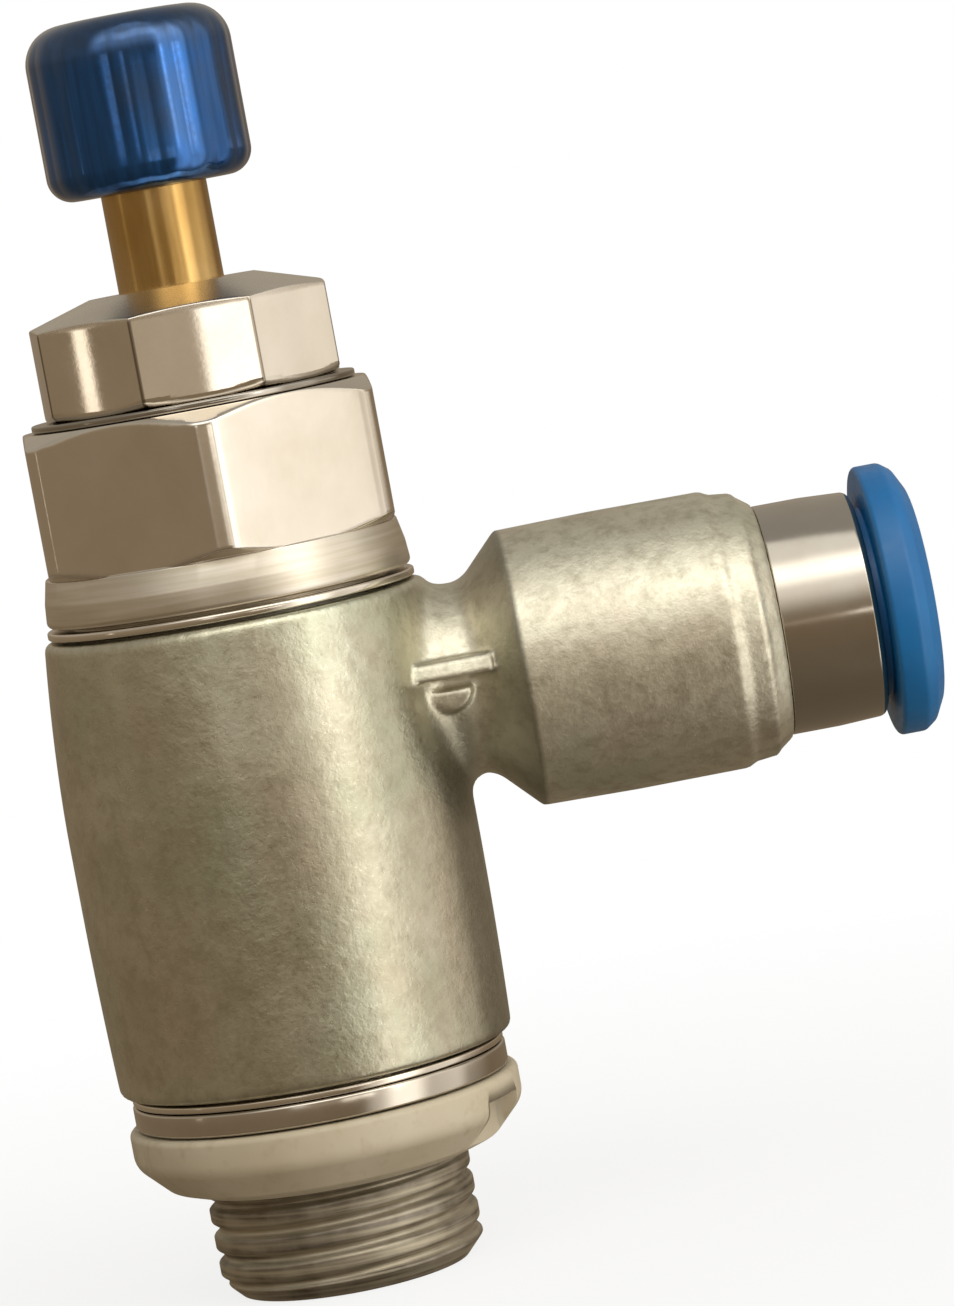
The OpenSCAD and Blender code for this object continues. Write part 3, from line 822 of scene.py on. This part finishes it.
def field_mesh(name, field, low, high, step):
    """Meshes a distance field's surface with one point in each crossed cell, moved onto the surface."""
    axes = [np.arange(low[k], high[k] + step, step) for k in range(3)]
    f = field(*np.meshgrid(*axes, indexing="ij"))
    total, count = edge_crossings(f)
    active = count > 0
    index = np.full(count.shape, -1)
    index[active] = np.arange(active.sum())
    cell = np.argwhere(active)
    points = np.array(low) + (cell + total[active] / count[active][:, None]) * step
    probe = 0.01
    for _ in range(4):
        value = field(*points.T)
        slope = np.stack([
            (field(*(points + d).T) - field(*(points - d).T)) / (2 * probe)
            for d in probe * np.eye(3)
        ], axis=-1)
        points -= slope * (value / np.maximum((slope**2).sum(1), 0.05))[:, None]
    faces = []
    inside = f < 0
    for axis in range(3):
        u, v = [a for a in range(3) if a != axis]
        here = tuple(slice(0, -1) if a == axis else slice(1, -1) for a in range(3))
        after = tuple(slice(1, None) if a == axis else slice(1, -1) for a in range(3))
        crossed = np.argwhere(inside[here] != inside[after])
        corner = crossed + np.array([0 if a == axis else 1 for a in range(3)])
        quad = []
        for du, dv in ((1, 1), (0, 1), (0, 0), (1, 0)):
            at = corner.copy()
            at[:, u] -= du
            at[:, v] -= dv
            quad.append(index[at[:, 0], at[:, 1], at[:, 2]])
        faces.append(np.stack(quad, axis=-1))
    return new_object(name, points, np.concatenate(faces).tolist())


def swivel_housing():
    """Cast barrel and branch in one skin, with the bores inside."""
    margin = 0.6
    low = (-BARREL_R - margin, -BARREL_R - margin, BARREL_BOTTOM - margin)
    high = (SHELL_END + margin, BARREL_R + margin, BRANCH_Z + SHELL_R + margin)
    housing = field_mesh("swivel_housing_cast", housing_field, low, high, 0.21)
    finish_piece(housing, "swivel", ["swivel_housing"], "zinc_diecast")


# ---------------------------------------------------------------- push-in connection


def cartridge_sleeve():
    """Nickel sleeve, pressed into the housing, slightly tapered with a rolled end."""
    start, end = CARTRIDGE_START, SLEEVE_END
    inner_r, lip_r, chamber_r = 4.95, 4.75, 5.05
    lip = end - 1.65
    rim_low, rim_high = SHELL_END + 0.4, SHELL_END + 1.0
    sleeve = lathe("cartridge_sleeve_turned", [
        (inner_r, start, 0.05), (CARTRIDGE_BORE_R, start, 0.1), (CARTRIDGE_BORE_R, SHELL_END, 0.02),
        (SLEEVE_R, SHELL_END + 0.02, 0.1), (SLEEVE_R, end - 2.4, 3.0), (SLEEVE_R - 0.12, end, 0.4),
        (lip_r, end, 0.15), (lip_r, lip, 0.05), (chamber_r, lip, 0.05), (chamber_r, rim_high, 0.05),
        (lip_r, rim_high, 0.05), (lip_r, rim_low, 0.05), (inner_r, rim_low, 0.05),
    ], along_x=True)
    # A darker copy of the nickel: painted shade that dims the sleeve's reflections
    finish_piece(sleeve, "swivel", ["cartridge_sleeve"], "nickel_plated_brass",
                 nickel("nickel_plated_sleeve_painted_dark", shade=0.74))


def release_ring():
    """Blue plastic collar with a domed face."""
    tip, end = RELEASE_TIP, RELEASE_END
    bore, tip_r, tube_r, bead_r = 4.1, 4.45, 4.65, 4.98
    back = end - 2.4
    bead = SLEEVE_END - 2.65
    ring = lathe("release_ring_moulded", [
        (bore, tip, 0.03), (tip_r - 0.2, tip, 0.03), (tip_r, tip + 0.95, 0.1), (tip_r, tip + 1.15, 0.05),
        (tube_r, tip + 1.35, 0.1), (tube_r, bead, 0.1), (bead_r, bead + 0.3, 0.1),
        (bead_r, bead + 0.9, 0.1), (tube_r, bead + 0.9, 0.1), (tube_r, back, 0.1),
        (RELEASE_R, back, 0.25), (RELEASE_R, back + 1.3, 0.5), (RELEASE_R - 0.4, end - 0.55, 0.5),
        (RELEASE_R - 1.3, end - 0.08, 0.6), (bore + 1, end, 0.5), (bore, end - 0.7, 0.4),
    ], along_x=True)
    finish_piece(ring, "release", ["release_ring"], "blue_plastic")


# ---------------------------------------------------------------- screw, knob and lock nut


def regulating_screw():
    """Brass screw, from its needle up to the spigot in the knob."""
    tip = SCREW_BOTTOM
    o_ring_z = sum(span("screw_o_ring", Z)) / 2
    land_z, land_top = o_ring_z - 1.3, o_ring_z + 1.3
    groove_low, groove_high, groove_r = o_ring_z - 0.7, o_ring_z + 0.7, 2.45
    thread_start, thread_end = land_z + 3.1, BOLT_TOP - 2.1
    screw = lathe("regulating_screw_turned", [
        (0, tip, 0), (1.0, tip, 0.15), (1.95, tip + 3.4, 0.05), (STEM_R, tip + 3.7, 0.1),
        (STEM_R, land_z, 0.15), (SCREW_THREAD_R, land_z, 0.1), (SCREW_THREAD_R, groove_low, 0.04),
        (groove_r, groove_low, 0.08), (groove_r, groove_high, 0.08),
        (SCREW_THREAD_R, groove_high, 0.04), (SCREW_THREAD_R, land_top, 0.1), (STEM_R, land_top, 0.1),
        (STEM_R, thread_start, 0.1), (SCREW_THREAD_R, thread_start, 0.2),
        (SCREW_THREAD_R, thread_end, 0.2),
        (STEM_R, thread_end, 0.1), (STEM_R, KNOB_BOTTOM, 0.02), (SPIGOT_R, KNOB_BOTTOM, 0.02),
        (SPIGOT_R, SCREW_TOP, 0.2), (0, SCREW_TOP, 0),
    ], closed=False)
    finish_piece(screw, "screw", ["regulating_screw"], "brass")


def adjusting_knob():
    """Anodised knob with shallow upright flutes between its rounded ends."""
    flutes = 20
    depth = 0.07
    angles = even_angles(flutes * 14)
    wave = np.abs(np.sin((angles - math.radians(7)) * flutes / 2))
    low, high = KNOB_BOTTOM, KNOB_TOP
    recess_top = high - 2.9
    outline = soften([
        (SPIGOT_R, low, 0.05), (KNOB_R, low, 1.25), (KNOB_R, high, 1.9), (0.0, high, 0),
        (0.0, recess_top, 0), (SPIGOT_R, recess_top, 0),
    ], steps=12)
    outline = dense(outline, 0.6)
    radii = []
    for r, z in outline:
        on_side = np.clip((r - KNOB_R + 0.5) / 0.5, 0, 1)
        radii.append(r - depth * on_side * (1 - wave) ** 0.7)
    knob = turned("adjusting_knob_fluted", radii, outline[:, 1], angles)
    finish_piece(knob, "screw", ["adjusting_knob"], "blue_anodised_aluminium")


def lock_nut():
    """Octagonal nut, bevelled from its corners to a round face on top."""
    bottom, top = NUT_BOTTOM, NUT_TOP
    corner_r = NUT_FLAT_R / math.cos(math.pi / 8)
    face_r = 4.1
    drop = (corner_r - face_r) * math.tan(math.radians(17))
    angles = cornered_angles(96, 8, NUT_TURN, reach=3.0, steps=10)
    octagon = polygon_radius(angles, NUT_FLAT_R, 8, NUT_TURN, crown=0.12)
    cone = dense(np.array([(corner_r + 0.1, top - drop - 0.03), (face_r, top)]), 0.08)
    outline = [(corner_r - 0.55, bottom), (corner_r - 0.3, bottom + 0.14), (corner_r, bottom + 0.32),
               (corner_r + 0.2, bottom + 0.5), (corner_r + 0.2, top - drop - 0.2)]
    outline = np.concatenate([dense(np.array(outline), 1.2), cone])
    radii = [soft_low(octagon, r, 20) for r, _ in outline]
    heights = list(outline[:, 1])
    inner = soften([(face_r - 0.2, top, 0), (STEM_R + 0.05, top, 0.35), (STEM_R + 0.05, bottom, 0.35),
                    (corner_r - 1.2, bottom, 0)], closed=False)
    radii.extend(np.full(angles.shape, r) for r, _ in inner)
    heights.extend(z for _, z in inner)
    nut = turned("lock_nut_octagon", radii, heights, angles)
    # The nut's finish has dark lines painted at its corners, painted shade
    finish_piece(nut, "nut", ["lock_nut"], "nickel_plated_brass",
                 nickel("nickel_plated_nut_painted_corners", rough=(0.03, 0.06), painted_corner_shade=(8, NUT_TURN)))


hollow_bolt()
thread_seal_ring()
# The retaining ring is a darker copy of the nickel: painted shade that dims its reflections
plain_ring("body_retaining_ring_turned", "body_retaining_ring", "bolt", JOURNAL_R, RETAINER_R,
           RETAINER_BOTTOM, RETAINER_TOP, 0.15, nickel("nickel_plated_retainer_painted_dark", shade=0.8))
plain_ring("lower_thrust_washer_turned", "lower_thrust_washer", "bolt", JOURNAL_R, LOW_WASHER_R,
           LOW_WASHER_BOTTOM, LOW_WASHER_TOP, 0.1)
plain_ring("upper_thrust_washer_turned", "upper_thrust_washer", "bolt", TOP_JOURNAL_R, WASHER_R,
           WASHER_BOTTOM, WASHER_TOP, 0.12)
# The lock washer is a darker copy of the nickel: painted shade for the shadowed gap under the nut
plain_ring("lock_washer_turned", "lock_washer", "nut_slide", STEM_R + 0.15, LOCK_WASHER_R,
           LOCK_WASHER_BOTTOM, LOCK_WASHER_TOP, 0.1, nickel("nickel_plated_washer_painted_dark", shade=0.5))
swivel_housing()
cartridge_sleeve()
release_ring()
regulating_screw()
adjusting_knob()
lock_nut()

# The CAD nodes take the finish of their slots. Those inside the valve keep their CAD shapes.
for part in frame["record"]["subparts"]:
    node = frame["nodes"][part["node"]]
    node.data.materials.clear()
    node.data.materials.append(MATERIALS[part["material_slot"]])
    node.data.polygons.foreach_set("use_smooth", [False] * len(node.data.polygons))


# ---------------------------------------------------------------- studio


BACKGROUND = (1.0, 1.0, 1.0)


def floor():
    """Pale floor just under the thread. It takes the valve's shadow and runs out into the background."""
    size = 3000
    z = THREAD_END - 0.02
    disc = lathe("studio_floor", [(0, z, 0), (size, z, 0)], closed=False)
    n = Nodes("studio_floor")
    away = n.add("ShaderNodeVectorMath", operation="LENGTH")
    n.link(n.place, away.inputs[0])
    glow = n.add("ShaderNodeEmission")
    glow.inputs["Color"].default_value = (*BACKGROUND, 1)
    blend = n.add("ShaderNodeMixShader")
    n.link(n.range(away.outputs["Value"], 0.82, 1.0, 0.02, 0.10), blend.inputs[0])
    n.link(n.shader.outputs[0], blend.inputs[1])
    n.link(glow.outputs[0], blend.inputs[2])
    n.link(blend.outputs[0], n.tree.nodes["Material Output"].inputs["Surface"])
    disc.data.materials.append(n.set(base_color=(0.9, 0.9, 0.89), roughness=0.8))
    disc.visible_glossy = False
    disc.visible_diffuse = False
    disc.visible_shadow = False


# Brightness of the surroundings by elevation in degrees: warm and dim below, pale above
SKY = [
    (-90, (0.145, 0.117, 0.082)), (-54, (0.165, 0.132, 0.092)), (-27, (0.20, 0.155, 0.105)),
    (-7, (0.23, 0.176, 0.117)), (0, (0.27, 0.21, 0.145)), (14, (0.40, 0.35, 0.28)),
    (36, (0.40, 0.37, 0.32)), (90, (0.35, 0.335, 0.30)),
]

# Soft boxes: middle, half size and softness of the edge, across and up in degrees, then the light.
# Across is 0 towards the viewer and 90 to the right. The one with negative light is a black cloth.
# The last six are narrow bands about the height of the lock nut and the knob.
SOFT_BOXES = [
    ((62, 35, 6), (0, 52, 12), (0.52, 0.515, 0.49)),
    ((97, 18, 14), (0, 52, 12), (0.20, 0.198, 0.19)),
    ((51, 12, 7), (0, 50, 15), (1.02, 1.01, 0.97)),
    ((10, 36, 14), (48, 10, 7), (1.25, 1.23, 1.17)),
    ((10, 52, 18), (61, 42, 13), (0.78, 0.77, 0.73)),
    ((148, 14, 8), (0, 52, 12), (-0.10, -0.09, -0.065)),
    ((21, 10, 1.2), (-1.4, 1.5, 0.5), (1.6, 1.55, 1.45)),
    ((0, 11, 2), (-1.4, 1.5, 0.5), (0.22, 0.20, 0.17)),
    ((109, 12, 8), (-1.4, 1.5, 0.5), (0.55, 0.54, 0.51)),
    ((-81.7, 1.4, 0.7), (-1.4, 1.5, 0.5), (1.25, 1.15, 1.0)),
    ((46, 2.5, 2), (3, 3.5, 1.5), (2.9, 2.9, 2.9)),
    ((-15, 4, 3), (3, 3.5, 1.5), (1.0, 1.0, 1.0)),
]


def studio_world():
    """Soft boxes in dim warm surroundings, and a plain pale background for the camera."""
    world = bpy.data.worlds.new("studio")
    bpy.context.scene.world = world
    world.use_nodes = True
    n = NodeTree(world.node_tree)
    n.tree.nodes.clear()
    split = n.add("ShaderNodeSeparateXYZ")
    n.link(n.add("ShaderNodeTexCoord").outputs["Generated"], split.inputs[0])
    across = n.math("ARCTAN2", split.outputs["X"], n.math("MULTIPLY", split.outputs["Y"], -1.0))
    up = n.math("ARCSINE", split.outputs["Z"])
    height = n.range(up, 0.0, 1.0, -math.pi / 2, math.pi / 2)
    light = n.ramp(height, [((degrees + 90) / 180, color) for degrees, color in SKY])
    for wide, tall, color in SOFT_BOXES:
        inside = []
        for angle, (middle, half, edge) in ((across, wide), (up, tall)):
            off = n.math("ABSOLUTE", n.math("SUBTRACT", angle, math.radians(middle)))
            inside.append(n.range(off, 1.0, 0.0, math.radians(half - edge), math.radians(half + edge),
                                  smooth=True))
        light = n.mix(n.math("MULTIPLY", *inside), light, color, blend="ADD")
    surroundings = n.add("ShaderNodeBackground")
    n.link(light, surroundings.inputs["Color"])
    plain = n.add("ShaderNodeBackground")
    plain.inputs["Color"].default_value = (*BACKGROUND, 1)
    blend = n.add("ShaderNodeMixShader")
    n.link(n.add("ShaderNodeLightPath").outputs["Is Camera Ray"], blend.inputs[0])
    n.link(surroundings.outputs[0], blend.inputs[1])
    n.link(plain.outputs[0], blend.inputs[2])
    n.link(blend.outputs[0], n.add("ShaderNodeOutputWorld").inputs["Surface"])


def camera():
    """A long lens at the photograph's viewing angle, turned so that the valve leans left."""
    place = Vector((1.0, -280.0, 47.0)) * MM
    target = Vector((11.4, 0.0, 23.6)) * MM
    lean = math.radians(10.4)
    height_of_view = math.radians(13.0)
    data = bpy.data.cameras.new("camera")
    data.sensor_fit = "VERTICAL"
    data.sensor_height = 36
    data.lens = 18 / math.tan(height_of_view / 2)
    data.clip_start = 0.01
    data.clip_end = 20
    obj = bpy.data.objects.new("camera", data)
    bpy.context.scene.collection.objects.link(obj)
    looking = (target - place).to_track_quat("-Z", "Y").to_matrix().to_4x4()
    obj.matrix_world = Matrix.Translation(place) @ looking @ Matrix.Rotation(-lean, 4, "Z")
    bpy.context.scene.camera = obj


floor()
studio_world()
camera()
bpy.context.scene.view_settings.view_transform = "Standard"
